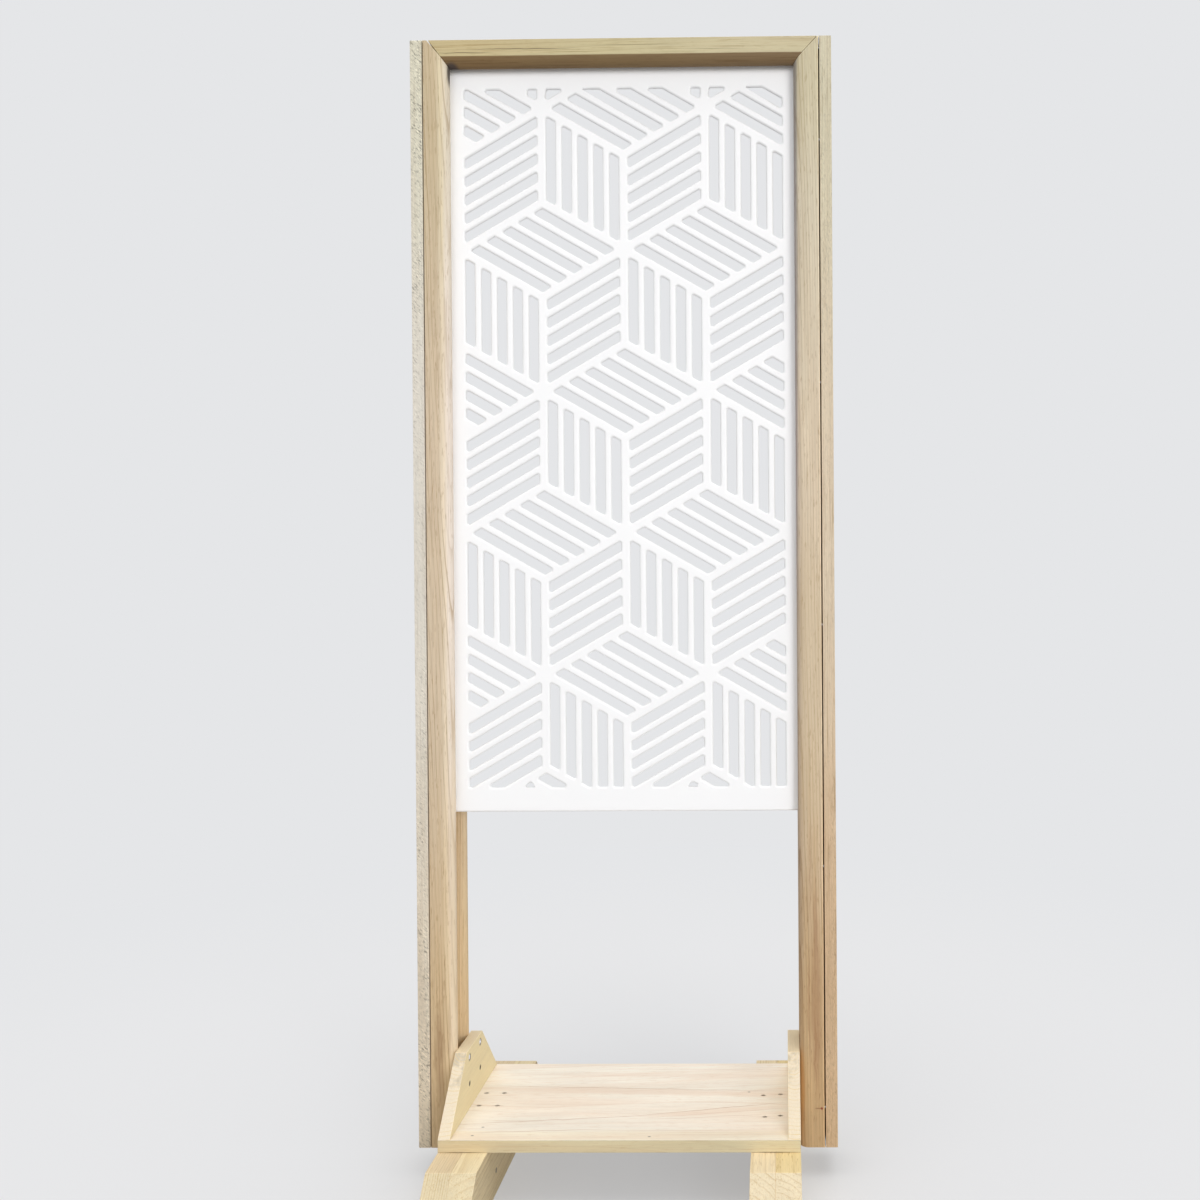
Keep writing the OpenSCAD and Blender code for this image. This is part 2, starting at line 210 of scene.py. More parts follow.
class Graph:
    """Adds nodes to a tree. Most calls make a node, set or link its inputs and give its output."""

    def __init__(self, tree):
        self.tree = tree

    def link(self, value, socket):
        self.tree.links.new(value, socket)

    def node(self, kind, values=(), **settings):
        made = self.tree.nodes.new(kind)
        for key, value in settings.items():
            setattr(made, key, value)
        for key, value in values.items() if isinstance(values, dict) else enumerate(values):
            if isinstance(value, bpy.types.NodeSocket):
                self.link(value, made.inputs[key])
            else:
                made.inputs[key].default_value = value
        return made

    def place(self):
        """The object's own coordinates."""
        return self.node("ShaderNodeTexCoord").outputs["Object"]

    def math(self, operation, *values, clamp=False):
        return self.node(
            "ShaderNodeMath", values, operation=operation, use_clamp=clamp).outputs[0]

    def times(self, value, factor, clamp=False):
        return self.math("MULTIPLY", value, factor, clamp=clamp)

    def times_plus(self, value, factor, added):
        return self.math("MULTIPLY_ADD", value, factor, added)

    def swing(self, noise, amount, base):
        """A base that a noise, which lies between 0 and 1, moves up and down."""
        return self.times_plus(self.math("SUBTRACT", noise, 0.5), amount, base)

    def vector(self, operation, *values):
        made = self.node("ShaderNodeVectorMath", values, operation=operation)
        return made.outputs["Value" if operation in {"LENGTH", "DOT_PRODUCT"} else "Vector"]

    def scaled(self, vector, scale):
        values = {0: vector, 3: scale}
        return self.node("ShaderNodeVectorMath", values, operation="SCALE").outputs["Vector"]

    def axis(self, vector, name):
        return self.node("ShaderNodeSeparateXYZ", (vector,)).outputs[name]

    def point(self, *values):
        return self.node("ShaderNodeCombineXYZ", values).outputs[0]

    def noise(self, vector, stretch=None, detail=2.0, roughness=0.5, output="Fac"):
        """Noise on coordinates that are first multiplied by the stretch."""
        if stretch:
            vector = self.vector("MULTIPLY", vector, stretch)
        values = {"Vector": vector, "Scale": 1.0, "Detail": detail, "Roughness": roughness}
        return self.node("ShaderNodeTexNoise", values).outputs[output]

    def sway(self, vector, stretch, detail, amount, share):
        """A sideways shift that changes slowly from place to place."""
        wave = self.noise(vector, stretch, detail, output="Color")
        middle = self.vector("SUBTRACT", wave, (0.5, 0.5, 0.5))
        return self.vector("MULTIPLY", self.scaled(middle, amount), (0, share, share))

    def facing(self, line):
        """How squarely a face looks along a line, from 0 to 1."""
        normal = self.node("ShaderNodeNewGeometry").outputs["True Normal"]
        return self.math("ABSOLUTE", self.vector("DOT_PRODUCT", normal, line))

    def ramp(self, value, low, high, to_low=0.0, to_high=1.0):
        values = (value, low, high, to_low, to_high)
        return self.node(
            "ShaderNodeMapRange", values, interpolation_type="SMOOTHSTEP").outputs[0]

    def mix(self, factor, first, second, blend="MIX"):
        values = {0: factor, 6: first, 7: second}
        return self.node("ShaderNodeMix", values, data_type="RGBA", blend_type=blend).outputs[2]

    def laid(self, mask, strength, under, over):
        """A colour with another laid over it, by a mask and its strength."""
        return self.mix(self.times(mask, strength, clamp=True), under, over)

    def surface(self, colour, roughness, height, bump, depth, **plain):
        """The material's shader and output, with a bump from a height."""
        dents = self.node(
            "ShaderNodeBump", {"Strength": bump, "Distance": depth, "Height": height})
        values = {"Base Color": colour, "Roughness": roughness, "Normal": dents.outputs[0]}
        values.update({key.replace("_", " "): value for key, value in plain.items()})
        shader = self.node("ShaderNodeBsdfPrincipled", values)
        self.node("ShaderNodeOutputMaterial", (shader.outputs[0],))


def new_group(name, inputs, outputs):
    """A shader node group: its graph, its inputs and the sockets of its output.

    inputs: label and default, a number, a vector of three or a colour of four.
    """
    tree = bpy.data.node_groups.new(name, "ShaderNodeTree")
    for label, default in inputs.items():
        kind = FLOAT if isinstance(default, float) else VECTOR if len(default) == 3 else COLOUR
        socket = tree.interface.new_socket(label, in_out="INPUT", socket_type=kind)
        socket.default_value = default
    for label, kind in outputs.items():
        tree.interface.new_socket(label, in_out="OUTPUT", socket_type=kind)
    graph = Graph(tree)
    return graph, graph.node("NodeGroupInput").outputs, graph.node("NodeGroupOutput").inputs


def timber_group():
    """Solid sawn timber in board coordinates, with its pith off to one side."""
    graph, given, result = new_group("Sawn timber", {
        "Board": (0, 0, 0),
        "Grain line": (1, 0, 0),
        "Seed": 0.0,
        "Pith across": 0.05,
        "Pith deep": 0.05,
        "Drift across": 0.0,
        "Drift deep": 0.0,
        "Ring width": 0.004,
        "Ring share": 0.35,
        "Wander": 0.012,
        # How strongly each of these shows
        "Rings": 0.6,
        "Zones": 0.3,
        "Lines": 0.3,
        "Fibres": 0.2,
        "Pores": 0.1,
        "Clouds": 0.12,
        "End amount": 0.6,
        "End rings": 0.35,
        "Grey patches": 0.0,
        "Grey from": -1.0,
        # Painted highlight on the eased edges; below 0 it is painted shade there
        "Edge light": 0.05,
        "Early wood": (0.8, 0.7, 0.5, 1),
        "Late wood": (0.6, 0.4, 0.2, 1),
        "Heartwood": (0.4, 0.2, 0.1, 1),
        "End grain": (0.6, 0.5, 0.4, 1),
        "Weathered": (0.5, 0.4, 0.3, 1),
    }, {"Color": COLOUR, "Roughness": FLOAT, "Height": FLOAT})
    board, seed = given["Board"], given["Seed"]
    place = graph.vector("ADD", board, graph.scaled((1.7, 0.93, 1.31), seed))

    # Rings: distance from a pith that drifts and wanders along the board
    bend = graph.sway(place, (1.5, 8, 8), 1.5, given["Wander"], 2)
    along = graph.axis(board, "X")
    pith = graph.point(
        0.0, graph.times_plus(along, given["Drift across"], given["Pith across"]),
        graph.times_plus(along, given["Drift deep"], given["Pith deep"]))
    arm = graph.vector("SUBTRACT", graph.vector("ADD", board, bend), pith)
    arm = graph.vector("MULTIPLY", arm, (0, 1, 1))
    count = graph.math("DIVIDE", graph.vector("LENGTH", arm), given["Ring width"])
    ripple = graph.noise(place, (2.6, 46, 46), detail=3, roughness=0.55)
    count = graph.math("ADD", count, graph.times_plus(ripple, 0.9, -0.45))
    part = graph.math("FRACT", count)
    begin = graph.math("SUBTRACT", 1.0, given["Ring share"])
    late = graph.times(graph.ramp(part, begin, 0.94), graph.ramp(part, 1.0, 0.95))
    year = graph.node(
        "ShaderNodeTexWhiteNoise", {"W": graph.math("ADD", graph.math("FLOOR", count), seed)},
        noise_dimensions="1D").outputs["Value"]
    fade = graph.ramp(graph.noise(place, (4, 30, 30)), 0.3, 0.6, 0.35, 1.0)
    ring = graph.times(graph.times(late, graph.times_plus(year, 0.7, 0.3)), fade)
    zone = graph.noise(
        graph.point(graph.times(along, 2.4), graph.times_plus(count, 0.3, seed), 0.0))
    zone = graph.ramp(zone, 0.42, 0.66)

    # Fibres, hairs, lines and pores are streaks along the grain, and read as specks on the ends
    fibre = graph.noise(place, (10, 520, 520), detail=4, roughness=0.62)
    hair = graph.noise(place, (60, 2400, 2400))
    line = graph.ramp(graph.noise(place, (5, 500, 500), detail=2.5), 0.54, 0.66)
    line = graph.times(line, graph.ramp(graph.noise(place, (14, 60, 60)), 0.4, 0.6))
    pore = graph.ramp(graph.noise(place, (60, 480, 480)), 0.58, 0.70)
    cloud = graph.noise(place, (3.5, 22, 22), detail=4, roughness=0.6)

    # Cut ends, with grey patches above a height on the board
    end = graph.ramp(graph.facing(given["Grain line"]), 0.35, 0.65)
    spots = graph.noise(graph.scaled(place, 38), detail=3, roughness=0.6)
    above = graph.math("SUBTRACT", graph.axis(board, "Z"), given["Grey from"])
    above = graph.ramp(graph.times_plus(spots, 0.03, above), 0.010, 0.020)
    patch = graph.times(graph.ramp(spots, 0.40, 0.56), above)
    cut_wood = graph.laid(patch, given["Grey patches"], given["End grain"], given["Weathered"])

    colour = graph.laid(zone, given["Zones"], given["Early wood"], given["Heartwood"])
    colour = graph.laid(end, given["End amount"], colour, cut_wood)
    more = graph.math("SUBTRACT", given["End rings"], given["Rings"])
    weight = graph.times_plus(end, more, given["Rings"])
    colour = graph.laid(ring, weight, colour, given["Late wood"])
    streak = graph.times_plus(
        pore, given["Pores"], graph.times(line, given["Lines"]))
    colour = graph.laid(streak, 2.4, colour, given["Late wood"])

    level = graph.swing(fibre, given["Fibres"], 1.0)
    level = graph.swing(hair, graph.times(given["Fibres"], 0.7), level)
    level = graph.swing(cloud, given["Clouds"], level)
    # Painted highlight along the eased edges, and painted shade where Edge light is below 0
    eased = graph.node("ShaderNodeAttribute", attribute_name="eased").outputs["Fac"]
    level = graph.times_plus(eased, given["Edge light"], level)
    graph.link(graph.scaled(colour, level), result["Color"])

    rough = graph.times_plus(ring, -0.12, graph.times_plus(fibre, 0.22, 0.58))
    graph.link(graph.times_plus(end, 0.12, rough), result["Roughness"])
    height = graph.times_plus(ring, 0.35, graph.times(fibre, 0.7))
    height = graph.times_plus(line, -0.3, graph.times_plus(hair, 0.3, height))
    graph.link(graph.times_plus(pore, -0.4, height), result["Height"])
    return graph.tree


def tone_group():
    """Tints a board gradually along one direction, with a ragged border."""
    graph, given, result = new_group("Tone", {
        "Color": (1, 1, 1, 1),
        "Board": (0, 0, 0),
        "Direction": (1, 0, 0),
        "Start": 0.0,
        "End": 1.0,
        "Ragged": 0.0,
        "Tint": (1, 1, 1, 1),
    }, {"Color": COLOUR})
    board = given["Board"]
    wave = graph.noise(board, (4, 90, 90), detail=3, roughness=0.6)
    reach = graph.vector("DOT_PRODUCT", board, given["Direction"])
    reach = graph.swing(wave, given["Ragged"], reach)
    amount = graph.ramp(reach, given["Start"], given["End"])
    graph.link(graph.mix(amount, given["Color"], given["Tint"], "MULTIPLY"), result["Color"])
    return graph.tree


def face_tint_group():
    """Tints the faces of a board that look along one line of the frame."""
    graph, given, result = new_group("Face tint", {
        "Color": (1, 1, 1, 1),
        "Line": (0, 1, 0),
        "Tint": (1, 1, 1, 1),
    }, {"Color": COLOUR})
    amount = graph.ramp(graph.facing(given["Line"]), 0.75, 0.95)
    graph.link(graph.mix(amount, given["Color"], given["Tint"], "MULTIPLY"), result["Color"])
    return graph.tree


def mark_group():
    """A soft spot, dash or crack at one place of a board. It puts out a mask."""
    graph, given, result = new_group("Mark", {
        "Board": (0, 0, 0),
        "Place": (0, 0, 0),
        "Size": (1, 1, 1),
        "Waver": 0.0,
        "Slope": 0.0,
    }, {"Mask": FLOAT})
    shift = graph.sway(given["Board"], (28, 4, 4), 3, given["Waver"], 1)
    away = graph.vector("ADD", graph.vector("SUBTRACT", given["Board"], given["Place"]), shift)
    drop = graph.times(graph.times(graph.axis(away, "X"), given["Slope"]), -1.0)
    away = graph.vector("ADD", away, graph.point(0.0, drop, 0.0))
    reach = graph.vector("LENGTH", graph.vector("DIVIDE", away, given["Size"]))
    graph.link(graph.ramp(reach, 1.0, 0.35), result["Mask"])
    return graph.tree


def saw_group():
    """Torn fibres that a rough saw left on a board's narrow edges, as painted shade and a height.
    """
    graph, given, result = new_group("Saw marks", {
        "Board": (0, 0, 0),
        "Seed": 0.0,
        "Slant": 0.7,
        "Strength": 0.5,
    }, {"Shade": FLOAT, "Height": FLOAT})
    board = given["Board"]
    place = graph.vector("ADD", board, graph.scaled((0.71, 0.37, 0.53), given["Seed"]))
    turned = graph.node(
        "ShaderNodeVectorRotate", {"Vector": place, "Angle": given["Slant"]},
        rotation_type="Y_AXIS").outputs[0]
    torn = graph.noise(turned, (140, 420, 560), detail=4, roughness=0.7)
    tuft = graph.ramp(graph.noise(turned, (150, 520, 640)), 0.55, 0.65)
    pit = graph.ramp(graph.noise(turned, (160, 520, 660)), 0.56, 0.66)
    # Painted shade: the tufts are lighter and the pits darker, as raking light shows them
    marks = graph.math("SUBTRACT", graph.times(tuft, 0.30), graph.times(pit, 0.55))
    marks = graph.swing(torn, 0.7, marks)

    # The marks come in patches, and calm down towards the middle of the board
    patch = graph.ramp(graph.noise(place, (9, 60, 60)), 0.35, 0.65, 0.5, 1.0)
    from_middle = graph.math("ABSOLUTE", graph.axis(board, "X"))
    patch = graph.times(patch, graph.ramp(from_middle, 0.1, 0.65, 0.45, 1.0))
    edge = graph.ramp(graph.facing((0, 1, 0)), 0.5, 0.8)
    amount = graph.times(graph.times(patch, edge), given["Strength"])
    graph.link(graph.times_plus(marks, amount, 1.0), result["Shade"])
    graph.link(graph.times(marks, amount), result["Height"])
    return graph.tree


def add_group(graph, name, make, values):
    """Places a shared group in a material. It is built the first time it is asked for."""
    tree = bpy.data.node_groups.get(name) or make()
    return graph.node("ShaderNodeGroup", values, node_tree=tree).outputs


def empty_graph(owner):
    """The cleared node tree of a material or world."""
    owner.use_nodes = True
    owner.node_tree.nodes.clear()
    return Graph(owner.node_tree)


def new_material(name):
    """A new material and its empty graph."""
    material = bpy.data.materials.new(name)
    return material, empty_graph(material)


def board_coordinates(graph, node, grain):
    """Coordinates with their origin in the middle of a board and X along its grain."""
    low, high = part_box(node)
    return graph.node("ShaderNodeMapping", {
        "Vector": graph.place(), "Location": (low + high) / 2, "Rotation": GRAIN_TURN[grain]},
        vector_type="TEXTURE").outputs[0]


def timber_material(node, wood, grain, saw=0.0, slant=0.7, bump=0.35, tones=(), faces=(),
                    marks=(), **look):
    """The timber of one board, in board coordinates.

    wood: first part of the names of its colours. tones: direction, start, end, raggedness, tint.
    faces: line that the faces look along, tint. marks: place, size, waver, amount, colour and,
    for a slanting one, slope. The look's names are those of the timber group's inputs.
    """
    colours = bpy.context.scene.divider_timber
    material, graph = new_material(node.replace("_", " ").capitalize())
    board = board_coordinates(graph, node, grain)
    values = {
        "Board": board, "Grain line": GRAIN_LINE[grain],
        "Early wood": getattr(colours, wood + "_pale"),
        "Late wood": getattr(colours, wood + "_ring"), "Heartwood": colours.heart,
        "End grain": getattr(colours, wood + "_end", colours.end_pale),
        "Weathered": colours.end_grey}
    values.update({key.replace("_", " ").capitalize(): value for key, value in look.items()})
    timber = add_group(graph, "Sawn timber", timber_group, values)
    colour, height = timber["Color"], timber["Height"]
    for direction, start, end, ragged, tint in tones:
        colour = add_group(graph, "Tone", tone_group, {
            "Color": colour, "Board": board, "Direction": direction, "Start": start, "End": end,
            "Ragged": ragged, "Tint": (*tint, 1)})["Color"]
    for line, tint in faces:
        colour = add_group(graph, "Face tint", face_tint_group, {
            "Color": colour, "Line": line, "Tint": (*tint, 1)})["Color"]
    for place, size, waver, amount, tint, *slope in marks:
        mask = add_group(graph, "Mark", mark_group, {
            "Board": board, "Place": place, "Size": size, "Waver": waver,
            "Slope": slope[0] if slope else 0.0})["Mask"]
        colour = graph.mix(graph.times(mask, amount), colour, tint)
    if saw:
        sawn = add_group(graph, "Saw marks", saw_group, {
            "Board": board, "Seed": look["seed"], "Slant": slant, "Strength": saw})
        # The saw marks' painted shade lightens and darkens the colour
        colour = graph.scaled(colour, sawn["Shade"])
        height = graph.times_plus(sawn["Height"], 2.5, height)
    graph.surface(colour, timber["Roughness"], height, bump, 0.0005, Specular_IOR_Level=0.3)
    return material


def merged_mesh(node):
    """A welded copy of a CAD node's triangles, with the flat faces joined."""
    mesh = bmesh.new()
    mesh.from_mesh(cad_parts[node].data)
    bmesh.ops.remove_doubles(mesh, verts=mesh.verts, dist=WELD_GAP)
    bmesh.ops.dissolve_limit(mesh, angle_limit=FLAT_ANGLE, verts=mesh.verts, edges=mesh.edges)
    return mesh


def ease_edges(mesh, width, segments, wanted=lambda edge: True):
    """Rounds the outer edges of a merged mesh, and marks the new faces as eased."""
    edges = [e for e in mesh.edges
             if e.calc_face_angle() > EDGE_ANGLE and e.calc_length() > RIM_SIDE and wanted(e)]
    eased = mesh.faces.layers.float.new("eased")
    made = bmesh.ops.bevel(
        mesh, geom=edges, offset=width, offset_type="OFFSET", segments=segments, profile=0.5,
        affect="EDGES", material=-1, clamp_overlap=False)
    for face in made["faces"]:
        face[eased] = 1.0


def mesh_data(mesh, name):
    """A finished bmesh as mesh data."""
    data = bpy.data.meshes.new(name)
    mesh.to_mesh(data)
    mesh.free()
    return data


def add_object(name, data):
    """A new object in the scene."""
    made = bpy.data.objects.new(name, data)
    bpy.context.scene.collection.objects.link(made)
    return made


def show(mesh, piece_name, nodes, material):
    """Makes a finished bmesh the piece that stands for some CAD nodes."""
    data = mesh_data(mesh, piece_name)
    stale = data.attributes.get("custom_normal")
    if stale:
        data.attributes.remove(stale)
    data.polygons.foreach_set("use_smooth", [True] * len(data.polygons))
    data.set_sharp_from_angle(angle=CREASE_ANGLE)
    data.materials.append(material)
    piece = add_object(piece_name, data)
    flat = piece.modifiers.new("Flat faces stay flat", "WEIGHTED_NORMAL")
    flat.keep_sharp = True
    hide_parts(*nodes)
    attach(piece, "root")


def dress_board(node, slot, shape=None, **look):
    """A board of detailed timber with eased edges, in place of its CAD node."""
    mesh = merged_mesh(node)
    if shape:
        shape(mesh)
    ease_edges(mesh, bpy.context.scene.divider_timber.eased_edge, 2)
    show(mesh, node + "_timber", [node], timber_material(node, **look))


def under_surface(top):
    """Whether a screw was driven under the surface."""
    return top.z < SUNK_BELOW


def narrow_holes(mesh, screws):
    """Narrows the mouths of the holes whose screws were driven under the surface."""
    for top, out, _ in screws:
        if not under_surface(top):
            continue
        axis = max(range(3), key=lambda i: abs(out[i]))
        for vert in mesh.verts:
            away = vert.co - top
            if abs(away[axis]) < WELD_GAP and away.length < HEAD_R * HEAD_REACH:
                vert.co = top + away.normalized() * SUNK_R


def open_seam(mesh, outer, shift):
    """Draws a front stile's outer face back from the side board, but not at the stile's ends."""
    heights = [v.co.z for v in mesh.verts]
    low, high = min(heights) + SEAM_END, max(heights) - SEAM_END
    for height, side in ((low, 1), (high, -1)):
        bmesh.ops.bisect_plane(
            mesh, geom=mesh.verts[:] + mesh.edges[:] + mesh.faces[:], dist=WELD_GAP,
            plane_co=(0, 0, height), plane_no=(0, 0, side))
    verts = [v for v in mesh.verts if abs(v.co.x - outer) < WELD_GAP
             and low - WELD_GAP < v.co.z < high + WELD_GAP]
    bmesh.ops.translate(mesh, vec=(shift, 0, 0), verts=verts)


def open_mitre(mesh, top, outer, inner, near, far):
    """Draws a stile's mitre cut back from its rail, by more and more towards the inner corner."""
    side = math.copysign(1, inner - outer)
    flat = max(side * (v.co.x - outer) for v in mesh.verts if v.co.z > top - WELD_GAP)
    for vert in mesh.verts:
        run = side * (vert.co.x - outer) - flat
        if run > -WELD_GAP and abs(top - vert.co.z - run) < WELD_GAP * 4:
            if run < WELD_GAP:
                vert.co.x -= side * near
            else:
                vert.co.z -= near + (far - near) * run / (abs(inner - outer) - flat)


class BoardStep:
    """Shared by the operators whose boards keep the CAD's shape"""

    def execute(self, context):
        for node, look in self.boards.items():
            dress_board(node, self.board_slot, **look)
        return {"FINISHED"}


SIDE_BOARDS = {
    "left_side_board": dict(
        wood="side", grain="Z", seed=1.0, pith_across=0.02, pith_deep=0.09, drift_deep=0.012,
        ring_width=0.0042, rings=0.3, zones=0.12, lines=0.16, fibres=0.26,
        clouds=0.25, saw=1.0, slant=0.75, bump=0.6,
        tones=[(ALONG, 0.1, -0.8, 0.5, (0.93, 0.86, 0.76)),
               (ALONG, 0.3, 0.85, 0.4, (0.94, 0.95, 0.86))]),
    "right_side_board": dict(
        wood="post", grain="Z", seed=2.0, pith_across=-0.03, pith_deep=-0.07, drift_deep=-0.01,
        ring_width=0.0034, rings=0.4, zones=0.1, lines=0.26, fibres=0.36,
        clouds=0.16, saw=0.4, slant=0.1,
        tones=[(ALONG, 0.1, -0.6, 0.5, (0.88, 0.75, 0.62)),
               (ALONG, 0.2, 0.8, 0.4, (0.91, 1, 0.99))]),
}


class DIVIDER_OT_side_boards(BoardStep, bpy.types.Operator):
    """Dress the two side boards, one of them rough sawn"""
    bl_idname = "divider.side_boards"
    bl_label = "Side boards"
    boards, board_slot = SIDE_BOARDS, "side_board_wood"


STILE = dict(
    wood="post", grain="Z", ring_width=0.0031, ring_share=0.4, rings=0.5, zones=0.22,
    lines=0.2, fibres=0.3, clouds=0.2, edge_light=0.14, end_amount=0.5)
# Browner feet of the stiles
LOW_LEFT = (ALONG, -0.1, -0.75, 0.4, (0.92, 0.84, 0.69))
LOW_RIGHT = (ALONG, -0.1, -0.7, 0.4, (0.80, 0.67, 0.50))
UMBER, RUST, RED = shade(128, 90, 56), shade(150, 106, 72), shade(140, 52, 32)
CREAM, STRAW, AMBER = shade(236, 218, 186), shade(176, 148, 96), shade(204, 146, 84)
STILES = {
    "front_left_stile": dict(
        STILE, seed=11.0, pith_across=0.05, pith_deep=0.10, drift_across=0.018, drift_deep=0.022,
        ring_width=0.0048, ring_share=0.38, rings=0.9, lines=0.16, fibres=0.36, pores=0.16,
        clouds=0.14, zones=0.1,
        tones=[LOW_LEFT, (ALONG, 0.25, 0.8, 0.3, (0.91, 0.92, 0.84)),
               (DEEP, -0.006, 0.0, 0.004, (0.93, 0.90, 0.87)),
               # Lighter towards the inner edge: partly paler wood, partly a painted highlight on
               # the rounded nose
               (DEEP, -0.003, -0.0085, 0.003, (1.11, 1.13, 1.15)),
               (DEEP, -0.008, -0.016, 0.003, (1.07, 1.11, 1.27))],
        # A pale band low down the inner edge, partly paler wood and partly painted highlight, then
        # brown streaks
        marks=[((-0.80, FRONT, -0.0195), (0.95, 0.05, 0.0080), 0.002, 0.45, CREAM),
               ((-0.70, FRONT, -0.010), (0.06, 0.02, 0.004), 0.004, 0.25, UMBER),
               ((-0.74, FRONT, 0.006), (0.11, 0.02, 0.009), 0.010, 0.35, UMBER),
               # Painted shadow in the inner corner of the open mitre
               ((0.842, 0.0, -0.0205), (0.030, 0.02, 0.0042), 0.0, 0.9, GAP)]),
    "front_right_stile": dict(
        STILE, seed=12.0, pith_across=-0.06, pith_deep=0.09, drift_across=-0.012, drift_deep=0.01,
        ring_width=0.0042, ring_share=0.36, rings=0.75, lines=0.14, fibres=0.36, pores=0.18,
        clouds=0.14, zones=0.12,
        tones=[LOW_RIGHT, (ALONG, 0.1, 0.8, 0.4, (0.93, 1.0, 1.02)),
               (ALONG, 0.6, 0.85, 0.1, (0.94, 0.94, 0.86)),
               # Painted shade on the rounded inner edge, darkest near the top and over the nose,
               # and a painted highlight on the outer arris beside the seam
               ((0.004, 0, 1), 0.0165, 0.0208, 0.0, (0.66, 0.68, 0.80)),
               (DEEP, -0.0170, -0.0176, 0.0, (1.32, 1.3, 1.26)),
               (DEEP, 0.010, 0.020, 0.003, (0.86, 0.84, 0.88))],
        marks=[((-0.15, FRONT, 0.000), (0.33, 0.05, 0.05), 0.0, 0.23, STRAW),
               ((-0.66, FRONT, -0.007), (0.19, 0.02, 0.011), 0.008, 0.42, RUST),
               ((-0.66, FRONT, 0.005), (0.12, 0.02, 0.0022), 0.012, 0.4, RUST),
               ((-0.73, FRONT, -0.005), (0.09, 0.02, 0.0022), 0.012, 0.35, RUST),
               ((-0.44, FRONT, 0.002), (0.12, 0.02, 0.0020), 0.010, 0.3, RUST),
               ((-0.52, FRONT, -0.006), (0.08, 0.02, 0.005), 0.006, 0.3, RUST),
               ((-0.80, FRONT, 0.017), (0.10, 0.02, 0.006), 0.003, 0.45, AMBER),
               ((-0.827, FRONT, -0.0145), (0.0028, 0.01, 0.0030), 0.0, 0.95, RED),
               ((-0.827, FRONT, -0.0085), (0.0016, 0.01, 0.0065), 0.0, 0.6, UMBER)]),
    "rear_left_stile": dict(
        STILE, seed=13.0, pith_across=0.08, pith_deep=-0.06, drift_across=0.015,
        tones=[(ALONG, 0.3, -0.8, 0.4, (1.09, 0.99, 0.80))]),
    "rear_right_stile": dict(
        STILE, seed=14.0, pith_across=-0.09, pith_deep=-0.05, drift_across=0.01,
        tones=[LOW_LEFT]),
}
# Widths of the open mitres at their outer and inner corners
MITRE_GAPS = {"front_left_stile": (0.0020, 0.0055), "front_right_stile": (0.0008, 0.0014)}


class DIVIDER_OT_stiles(bpy.types.Operator):
    """Dress the four stiles with their rounded inner edges and mitred tops"""
    bl_idname = "divider.stiles"
    bl_label = "Stiles"

    def execute(self, context):
        seams = context.scene.divider_timber
        shifts = {"front_left_stile": seams.left_seam - SIDE_SEAM,
                  "front_right_stile": SIDE_SEAM - seams.right_seam}
        for node, look in STILES.items():
            low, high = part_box(node)
            outer, inner = (low.x, high.x) if "left" in node else (high.x, low.x)

            def joint(mesh):
                if node in MITRE_GAPS:
                    open_mitre(mesh, high.z, outer, inner, *MITRE_GAPS[node])
                if node in shifts:
                    open_seam(mesh, outer, shifts[node])
            dress_board(node, "stile_wood", joint, **look)
        return {"FINISHED"}


RAIL = dict(
    wood="rail", grain="X", pith_across=0.08, pith_deep=-0.07, drift_across=0.012,
    drift_deep=0.02, ring_width=0.0036, rings=0.45, zones=0.12, lines=0.34,
    fibres=0.3, clouds=0.2, edge_light=0.1,
    # The rounded underside is far darker and browner: painted shade, partly browner wood
    tones=[(DEEP, -0.0045, -0.0065, 0.003, (0.35, 0.262, 0.20)),
           (ALONG, -0.05, 0.25, 0.05, (1.02, 1.03, 1.13)),
           (ALONG, -0.05, -0.25, 0.05, (1.03, 0.99, 0.94))])
CRACK = shade(92, 76, 50)
RAILS = {
    # Fine cracks on the front face, and painted shadow in the inner corner of the open left mitre
    "front_top_rail": dict(RAIL, seed=21.0, marks=[
        ((-0.160, FRONT, 0.0050), (0.115, 0.004, 0.0010), 0.003, 0.75, CRACK),
        ((-0.255, FRONT, -0.0005), (0.060, 0.004, 0.0010), 0.003, 0.75, CRACK),
        ((0.020, FRONT, 0.0095), (0.090, 0.004, 0.0008), 0.003, 0.45, CRACK),
        ((0.150, FRONT, 0.0020), (0.060, 0.004, 0.0008), 0.003, 0.4, CRACK),
        ((-0.2755, 0.0, -0.0205), (0.014, 0.03, 0.0095), 0.0, 0.9, GAP)]),
    "rear_top_rail": dict(RAIL, seed=22.0),
}


class DIVIDER_OT_top_rails(BoardStep, bpy.types.Operator):
    """Dress the two mitred top rails"""
    bl_idname = "divider.top_rails"
    bl_label = "Top rails"
    boards, board_slot = RAILS, "rail_wood"


SPACER = dict(
    wood="post", pith_across=0.04, pith_deep=-0.06, drift_across=0.02, ring_width=0.004,
    rings=0.5, zones=0.2)
SPACERS = {
    "left_spacer": dict(SPACER, grain="Z", seed=31.0),
    "right_spacer": dict(SPACER, grain="Z", seed=32.0),
    "top_spacer": dict(SPACER, grain="X", seed=33.0),
}


class DIVIDER_OT_spacers(BoardStep, bpy.types.Operator):
    """Dress the spacers between the front and rear frames"""
    bl_idname = "divider.spacers"
    bl_label = "Spacers"
    boards, board_slot = SPACERS, "spacer_wood"


# The dark knot colour also serves as painted shade in the mouths of the screw holes, and the last
# colour is a painted contact shadow over the feet
KNOT_AND_HOLE_SHADE, GRAIN, BLUSH = shade(66, 52, 42), shade(196, 160, 130), shade(234, 208, 184)
SMUDGE, FOOT_CONTACT_SHADOW = shade(150, 116, 90), shade(112, 86, 52)
